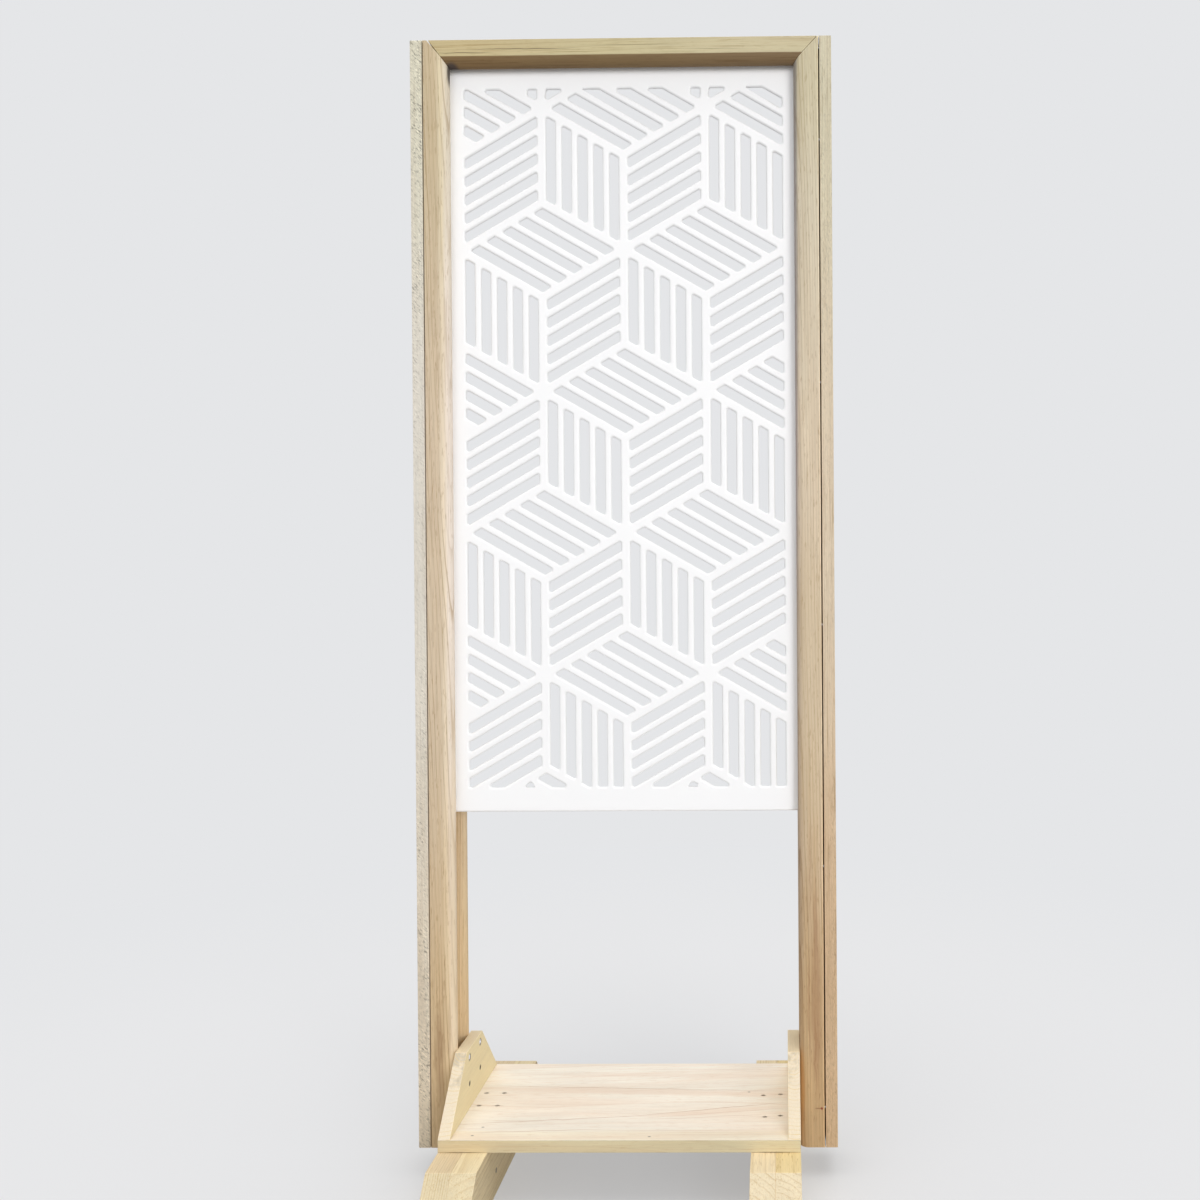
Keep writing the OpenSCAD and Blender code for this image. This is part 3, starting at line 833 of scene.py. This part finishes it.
# Grain lines and bands of the shelf's top: place along and across, length, width, amount,
# colour, slope
SHELF_LINES = (
    (0.02, 0.028, 0.40, 0.016, 0.45, BLUSH, -0.05),
    (0.01, 0.040, 0.36, 0.0013, 0.6, GRAIN, -0.048),
    (-0.10, -0.073, 0.20, 0.0016, 0.6, GRAIN, 0.10),
    (0.13, -0.038, 0.16, 0.0018, 0.6, GRAIN, 0.20),
    (0.15, -0.050, 0.14, 0.0013, 0.45, GRAIN, 0.15),
    (0.15, -0.063, 0.14, 0.0012, 0.35, GRAIN, 0.10),
    (0.14, -0.046, 0.15, 0.013, 0.4, BLUSH, 0.16),
    (-0.08, -0.010, 0.16, 0.020, 0.28, BLUSH, 0.0),
    (-0.14, -0.112, 0.16, 0.0014, 0.5, GRAIN, 0.06),
    (0.08, -0.111, 0.22, 0.0010, 0.3, GRAIN, 0.0),
    (0.0, 0.095, 0.30, 0.012, 0.25, BLUSH, -0.02),
    (0.05, 0.118, 0.25, 0.0010, 0.25, GRAIN, -0.02),
)
SHELF_KNOTS = ((0.193, 0.026), (-0.219, -0.099), (-0.228, -0.127), (0.045, -0.131))


class DIVIDER_OT_shelf(bpy.types.Operator):
    """Dress the wide flat-sawn shelf board and the mouths of its screw holes"""
    bl_idname = "divider.shelf"
    bl_label = "Shelf"

    def execute(self, context):
        screws = screws_in("shelf_screws")
        low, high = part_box("shelf_board")
        middle = (low + high) / 2
        face = high.z - middle.z
        marks = [((x, y, face), (length, width, 0.004), 0.006, amount, colour, slope)
                 for x, y, length, width, amount, colour, slope in SHELF_LINES]
        # Smudged mouths of the screw holes with painted shade in each mouth, small knots, and a
        # painted contact shadow along the front of the underside over each foot
        for number, (top, *_) in enumerate(screws):
            spot, smudge = tuple(top - middle), 0.008 + 0.003 * (number % 3)
            marks += [(spot, (smudge, 0.0016, 0.004), 0.002, 0.4, SMUDGE),
                      (spot, (0.0050, 0.0036, 0.004), 0.0, 0.95, KNOT_AND_HOLE_SHADE)]
        marks += [((x, y, face), (0.0034, 0.0020, 0.004), 0.0, 0.7, KNOT_AND_HOLE_SHADE) for x, y in SHELF_KNOTS]
        marks += [((x, low.y, -face), (0.046, 0.004, 0.0020), 0.0, 0.75, FOOT_CONTACT_SHADOW)
                  for x in (-0.239, 0.239)]
        dress_board(
            "shelf_board", "shelf_wood", lambda mesh: narrow_holes(mesh, screws), wood="shelf",
            grain="X", heartwood=shade(234, 212, 190), seed=41.0, pith_across=0.01,
            pith_deep=-0.075, drift_across=0.06, drift_deep=0.03, ring_width=0.009,
            ring_share=0.22, wander=0.03, rings=0.45, zones=0.4, lines=0.13, fibres=0.24,
            # Painted shade on the eased edges from the negative edge light; below, a yellower strip
            # at the front, painted light that lifts the back of the top, and painted shade that
            # darkens and yellows the edges and ends
            pores=0.14, clouds=0.26, edge_light=-0.14, marks=marks,
            tones=[(ACROSS, -0.105, -0.118, 0.02, (1.0, 0.985, 0.92)),
                   (ACROSS, 0.03, 0.12, 0.0, (1.13, 1.14, 1.15))],
            faces=[((0, 1, 0), (0.75, 0.72, 0.58)), ((1, 0, 0), (0.92, 0.86, 0.72))])
        return {"FINISHED"}


GUSSET = dict(
    wood="gusset", grain="Y", pith_deep=0.052, drift_deep=0.06, ring_width=0.0038, wander=0.014,
    rings=0.26, zones=0.03, lines=0.05, fibres=0.2, pores=0.06, edge_light=0.12, end_amount=0.9,
    # The faces that look up and down are darker and bluer: painted shade
    end_rings=1.0, grey_patches=0.65, grey_from=0.014, faces=[((0, 0, 1), (0.90, 0.88, 0.96))])
# Painted shadow round each screw head, and painted shade round the mouth of each sunk hole
HEAD_SHADOW, HOLE_SHADE = shade(50, 42, 48), shade(56, 44, 32)


class DIVIDER_OT_gussets(bpy.types.Operator):
    """Dress the two gussets with their 45 degree cuts"""
    bl_idname = "divider.gussets"
    bl_label = "Gussets"

    def execute(self, context):
        all_screws = screws_in("gusset_screws")
        for node, seed, pith in (("left_gusset", 51.0, -0.004), ("right_gusset", 52.0, 0.004)):
            low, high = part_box(node)
            middle = (low + high) / 2
            screws = [screw for screw in all_screws
                      if low.x - WELD_GAP < screw[0].x < high.x + WELD_GAP]
            marks = []
            for top, *_ in screws:
                x, y, z = top - middle
                # A sunk hole gets painted shade round its mouth; a raised head gets a painted
                # shadow round it
                if under_surface(top):
                    marks.append(((y, -x, z), (0.0062, 0.003, 0.0056), 0.0, 1.0, HOLE_SHADE))
                else:
                    marks.append((
                        (y + 0.0018, -x, z - 0.001), (0.0080, 0.003, 0.0080), 0.0, 0.95, HEAD_SHADOW))
            dress_board(node, "gusset_wood", lambda mesh: narrow_holes(mesh, screws),
                        seed=seed, pith_across=pith, marks=marks, **GUSSET)
        return {"FINISHED"}


FOOT = dict(
    wood="foot", grain="Y", ring_width=0.0065, rings=0.5, zones=0.12, lines=0.22,
    fibres=0.3, pores=0.14, clouds=0.22, end_amount=0.85, end_rings=0.6, grey_patches=0.12)
PALE_FOOT, PALE_END = shade(241, 222, 184), shade(224, 210, 181)
FEET = {
    "left_foot_outer_ply": dict(
        FOOT, seed=61.0, pith_across=0.3, pith_deep=0.02, ring_width=0.004, ring_share=0.45,
        end_rings=1.0, faces=[((0, 0, 1), (0.95, 0.92, 0.92))]),
    "left_foot_inner_ply": dict(
        FOOT, seed=62.0, pith_across=-0.06, pith_deep=-0.09, ring_width=0.010, ring_share=0.5,
        end_rings=0.42, faces=[((0, 0, 1), (1.06, 1.07, 1.06))]),
    "right_foot_inner_ply": dict(
        FOOT, seed=63.0, pith_across=0.035, pith_deep=-0.03, ring_width=0.0072, end_rings=0.7,
        early_wood=PALE_FOOT, end_grain=PALE_END),
    "right_foot_outer_ply": dict(
        FOOT, seed=64.0, pith_across=0.03, pith_deep=-0.035, ring_width=0.0072, rings=0.3,
        lines=0.1, pores=0.22, early_wood=PALE_FOOT, end_grain=PALE_END,
        faces=[((0, 0, 1), (0.93, 0.89, 0.72))]),
}


class DIVIDER_OT_feet(BoardStep, bpy.types.Operator):
    """Dress the two plies of each foot"""
    bl_idname = "divider.feet"
    bl_label = "Feet"
    boards, board_slot = FEET, "foot_wood"


def panel_material(look):
    """Satin moulded plastic with a faint moulding texture."""
    material, graph = new_material("Satin panel")
    place = graph.place()
    cloud = graph.noise(place, (6, 6, 6))
    peel = graph.noise(place, (900, 900, 900))
    amount = graph.ramp(cloud, 0.3, 0.7, 0.0, 0.12)
    graph.surface(
        graph.mix(amount, look.colour, shade(240, 241, 243)),
        graph.swing(cloud, 0.12, look.roughness), peel, 0.06, 0.0002, Specular_IOR_Level=0.45)
    return material


class DIVIDER_OT_screen_panel(bpy.types.Operator):
    """Dress the slotted panel with rounded moulded edges"""
    bl_idname = "divider.screen_panel"
    bl_label = "Screen panel"

    def execute(self, context):
        look = context.scene.divider_panel
        mesh = merged_mesh("screen_panel")

        def on_a_face(edge):
            return abs(edge.verts[0].co.y - edge.verts[1].co.y) < WELD_GAP * 2
        ease_edges(mesh, look.rounding, 4, on_a_face)
        show(mesh, "screen_panel_moulded", ["screen_panel"],
             panel_material(look))
        return {"FINISHED"}


def metal_material(name, colour, roughness):
    """Plated or coated screw metal with fine scratches and tool wear."""
    material, graph = new_material(name)
    place = graph.place()
    grime = graph.ramp(graph.noise(place, (420, 420, 420), detail=3), 0.4, 0.7)
    scratch = graph.noise(place, (900, 5200, 2600))
    grime_and_shade = [level * 0.62 for level in colour[:3]] + [1]
    graph.surface(
        graph.mix(graph.times(grime, 0.6), colour, grime_and_shade),
        graph.times_plus(scratch, 0.25, roughness - 0.12), scratch, 0.15, 0.0001, Metallic=0.9)
    return material


def screws_in(node):
    """The screws of a CAD node: middle of the head's top, direction out of the wood, length."""
    mesh = bmesh.new()
    mesh.from_mesh(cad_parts[node].data)
    bmesh.ops.remove_doubles(mesh, verts=mesh.verts, dist=WELD_GAP)
    left = set(mesh.verts)
    found = []
    while left:
        stack = [min(left, key=lambda v: v.index)]
        part = set(stack)
        while stack:
            for edge in stack.pop().link_edges:
                for vert in edge.verts:
                    if vert not in part:
                        part.add(vert)
                        stack.append(vert)
        left -= part
        low = Vector([min(v.co[i] for v in part) for i in range(3)])
        high = Vector([max(v.co[i] for v in part) for i in range(3)])
        size = high - low
        axis = max(range(3), key=lambda i: size[i])
        middle = (low + high) / 2

        def reach(end):
            near = [v.co for v in part if abs(v.co[axis] - end) < HEAD_H * HEAD_REACH]
            return max(math.hypot(*(co[i] - middle[i] for i in range(3) if i != axis))
                       for co in near)
        out = Vector([0, 0, 0])
        out[axis] = 1 if reach(high[axis]) > reach(low[axis]) else -1
        top = middle.copy()
        top[axis] = high[axis] if out[axis] > 0 else low[axis]
        found.append((top, out, size[axis]))
    mesh.free()
    return found


def screw_data(profile, recess_depth, top, radius):
    """The mesh of one screw: a turned profile with a cross recess cut into its head."""
    body = bmesh.new()
    points = [body.verts.new((reach, 0, z)) for reach, z in profile]
    edges = [body.edges.new(pair) for pair in zip(points, points[1:])]
    bmesh.ops.spin(body, geom=points + edges, cent=(0, 0, 0), axis=(0, 0, 1), angle=2 * math.pi,
                   steps=HEAD_SIDES, use_merge=True)
    bmesh.ops.remove_doubles(body, verts=body.verts, dist=WELD_GAP)
    bmesh.ops.recalc_face_normals(body, faces=body.faces)

    cutter = bmesh.new()
    arm, half = radius * RECESS_ARM, radius * RECESS_HALF
    outline = [
        (half, half), (half, arm), (-half, arm), (-half, half), (-arm, half), (-arm, -half),
        (-half, -half), (-half, -arm), (half, -arm), (half, -half), (arm, -half), (arm, half)]
    face = cutter.faces.new([cutter.verts.new((x, y, top + TOOL_RISE)) for x, y in outline])
    grown = bmesh.ops.extrude_face_region(cutter, geom=[face])["geom"]
    floor = [v for v in grown if isinstance(v, bmesh.types.BMVert)]
    bmesh.ops.translate(cutter, vec=(0, 0, -TOOL_RISE - recess_depth), verts=floor)
    bmesh.ops.scale(cutter, vec=(RECESS_TAPER, RECESS_TAPER, 1), verts=floor)
    bmesh.ops.recalc_face_normals(cutter, faces=cutter.faces)

    head = add_object("head", mesh_data(body, "turned"))
    tool = add_object("tool", mesh_data(cutter, "cross"))
    cut = head.modifiers.new("Cross", "BOOLEAN")
    cut.object, cut.operation, cut.solver = tool, "DIFFERENCE", "EXACT"
    solid = head.evaluated_get(bpy.context.evaluated_depsgraph_get())
    data = bpy.data.meshes.new_from_object(solid)
    for piece in (head, tool):
        bpy.data.objects.remove(piece)
    return data


def countersunk(length, head_radius, sink):
    """Profile of a wood screw from its tip to the middle of its head, with the wood's face at 0."""
    return [(0, -length), (SHANK_R * 0.35, -length + TIP_LENGTH * 0.3),
            (SHANK_R, TIP_LENGTH - length), (SHANK_R, -HEAD_H - sink),
            (head_radius * 0.72, -HEAD_H * 0.32 - sink), (head_radius, -0.00030 - sink),
            (head_radius, -0.00012 - sink), (head_radius * 0.95, -sink), (0, -sink)]


def domed(length):
    """Profile of a pan-head screw, with the washer's face at 0."""
    dome = [(HEAD_R * math.cos(a), HEAD_H * math.sin(a))
            for a in (math.radians(t) for t in (18, 36, 54, 72))]
    return [(0, -length), (SHANK_R, TIP_LENGTH - length), (SHANK_R, 0), (HEAD_R * 0.97, 0),
            (HEAD_R, 0.0003), *dome, (0, HEAD_H)]


def dress_screws(node, material, dome=False, sunk=False):
    """Detailed screws with cross recesses in place of a CAD node's turned ones."""
    depth = bpy.context.scene.divider_screws.recess_depth
    whole = bmesh.new()
    shapes = {}
    for number, (top, out, length) in enumerate(screws_in(node)):
        deep = sunk and under_surface(top)
        key = (round(length, 4), deep)
        if key not in shapes:
            sink, radius = (SUNK_DEPTH, SUNK_R) if deep else (0.0, HEAD_R)
            radius -= HEAD_PLAY
            profile = domed(length - HEAD_H) if dome else countersunk(length, radius, sink)
            shapes[key] = screw_data(profile, depth, HEAD_H if dome else -sink, radius)
        face = top - out * HEAD_H if dome else top
        turn = out.to_track_quat("Z", "Y").to_matrix().to_4x4()
        turn = turn @ Matrix.Rotation(number * SCREW_TURN, 4, "Z")
        data = shapes[key].copy()
        data.transform(Matrix.Translation(face) @ turn)
        whole.from_mesh(data)
        bpy.data.meshes.remove(data)
    for data in shapes.values():
        bpy.data.meshes.remove(data)
    whole.faces.layers.float.new("eased")
    show(whole, node + "_detailed", [node], material)


class DIVIDER_OT_screws(bpy.types.Operator):
    """Dress every screw and washer"""
    bl_idname = "divider.screws"
    bl_label = "Screws and washers"

    def execute(self, context):
        look = context.scene.divider_screws
        zinc = metal_material("Zinc plate", look.zinc, 0.38)
        # The feet's screws get a darker copy of the zinc: painted shade
        grime_and_shade = metal_material("Shaded zinc plate", look.shaded_zinc, 0.55)
        coated = metal_material("Dark coating", look.coated, 0.5)
        dress_screws("shelf_screws", coated, sunk=True)
        dress_screws("gusset_screws", zinc, sunk=True)
        for node in ("gusset_edge_screws", "side_board_screws", "spacer_screws", "mitre_screws"):
            dress_screws(node, zinc)
        dress_screws("foot_screws", grime_and_shade)
        dress_screws("panel_screws", zinc, dome=True)
        washers = merged_mesh("panel_washers")
        washers.faces.layers.float.new("eased")
        show(washers, "panel_washers_plated", ["panel_washers"], zinc)
        return {"FINISHED"}


def soft_light(name, level, azimuth, elevation, spread, colour):
    """Distant soft light. At level 1 it shows a white surface that faces it as white."""
    lamp = bpy.data.lights.new(name, "SUN")
    lamp.energy, lamp.angle, lamp.color = level * math.pi, math.radians(spread), colour
    holder = add_object(name, lamp)
    holder.rotation_euler = (math.radians(90 - elevation), 0, math.radians(azimuth))


def seen_directly(graph):
    """1 for rays that show the background: camera, mirror and transmission rays."""
    path = graph.node("ShaderNodeLightPath").outputs
    return graph.math(
        "MAXIMUM", graph.math("MAXIMUM", path["Is Camera Ray"], path["Is Glossy Ray"]),
        path["Is Transmission Ray"])


class DIVIDER_OT_stage(bpy.types.Operator):
    """Set up the floor, background, lamps and camera"""
    bl_idname = "divider.stage"
    bl_label = "Floor, light and camera"

    def execute(self, context):
        scene = context.scene
        look = scene.divider_stage

        mesh = bmesh.new()
        bmesh.ops.create_circle(
            mesh, cap_ends=True, cap_tris=False, segments=64, radius=FLOOR_RADIUS)
        floor = add_object("floor", mesh_data(mesh, "floor"))
        material, graph = new_material("Floor")
        floor.data.materials.append(material)
        distance = graph.vector("LENGTH", graph.place())
        far = graph.ramp(distance, HAZE_NEAR, HAZE_FAR, look.haze, 1.0)
        seen = graph.mix(seen_directly(graph), look.floor_bounce, look.floor)
        matt = graph.node("ShaderNodeBsdfDiffuse", {"Color": seen}).outputs[0]
        haze = graph.node("ShaderNodeEmission", {"Color": look.backdrop}).outputs[0]
        blend = graph.node("ShaderNodeMixShader", (
            graph.times(far, seen_directly(graph)), matt, haze)).outputs[0]
        graph.node("ShaderNodeOutputMaterial", (blend,))

        scene.world = bpy.data.worlds.new("Studio")
        graph = empty_graph(scene.world)
        even = graph.node(
            "ShaderNodeBackground", {"Color": (1, 1, 1, 1), "Strength": look.ambient})
        shown = graph.node("ShaderNodeBackground", {"Color": look.backdrop, "Strength": 1.0})
        sky = graph.node("ShaderNodeMixShader", (
            seen_directly(graph), even.outputs[0], shown.outputs[0])).outputs[0]
        graph.node("ShaderNodeOutputWorld", (sky,))

        soft_light("Key", look.key, azimuth=28, elevation=10, spread=30, colour=WARM_LIGHT)
        soft_light("Fill", look.fill, azimuth=-14, elevation=5, spread=45, colour=COOL_LIGHT)
        soft_light(
            "Overhead", look.overhead, azimuth=0, elevation=85, spread=50, colour=(1, 1, 1))

        camera = bpy.data.cameras.new("Camera")
        camera.lens, camera.sensor_width = CAMERA_LENS, CAMERA_SENSOR
        camera.shift_x, camera.shift_y = CAMERA_SHIFT
        holder = add_object("Camera", camera)
        holder.location = CAMERA_PLACE
        holder.rotation_euler = [math.radians(angle) for angle in CAMERA_TURN]
        scene.camera = holder
        scene.view_settings.view_transform = "Standard"
        return {"FINISHED"}


STEPS = (DIVIDER_OT_side_boards, DIVIDER_OT_stiles, DIVIDER_OT_top_rails, DIVIDER_OT_spacers,
         DIVIDER_OT_screen_panel, DIVIDER_OT_shelf, DIVIDER_OT_gussets, DIVIDER_OT_feet,
         DIVIDER_OT_screws, DIVIDER_OT_stage)
LOOKS = {"divider_timber": TimberLook, "divider_panel": PanelLook, "divider_screws": ScrewLook,
         "divider_stage": StageLook}


class DIVIDER_PT_tools(bpy.types.Panel):
    """Lists the divider's looks and the steps that make it"""
    bl_idname = "DIVIDER_PT_tools"
    bl_label = "Room divider"
    bl_space_type = "VIEW_3D"
    bl_region_type = "UI"
    bl_category = "Divider"

    def draw(self, context):
        for step in STEPS:
            self.layout.operator(step.bl_idname)
        for key, look in LOOKS.items():
            column = self.layout.column()
            for name in look.__annotations__:
                column.prop(getattr(context.scene, key), name)


def register():
    for look in LOOKS.values():
        bpy.utils.register_class(look)
    for key, look in LOOKS.items():
        setattr(bpy.types.Scene, key, bpy.props.PointerProperty(type=look))
    for step in (*STEPS, DIVIDER_PT_tools):
        bpy.utils.register_class(step)


def unregister():
    for step in (*STEPS, DIVIDER_PT_tools):
        bpy.utils.unregister_class(step)
    for key, look in LOOKS.items():
        delattr(bpy.types.Scene, key)
        bpy.utils.unregister_class(look)


def main():
    """Runs every step in order."""
    register()
    for step in STEPS:
        group, name = step.bl_idname.split(".")
        getattr(getattr(bpy.ops, group), name)()


if __name__ == "__main__":
    main()
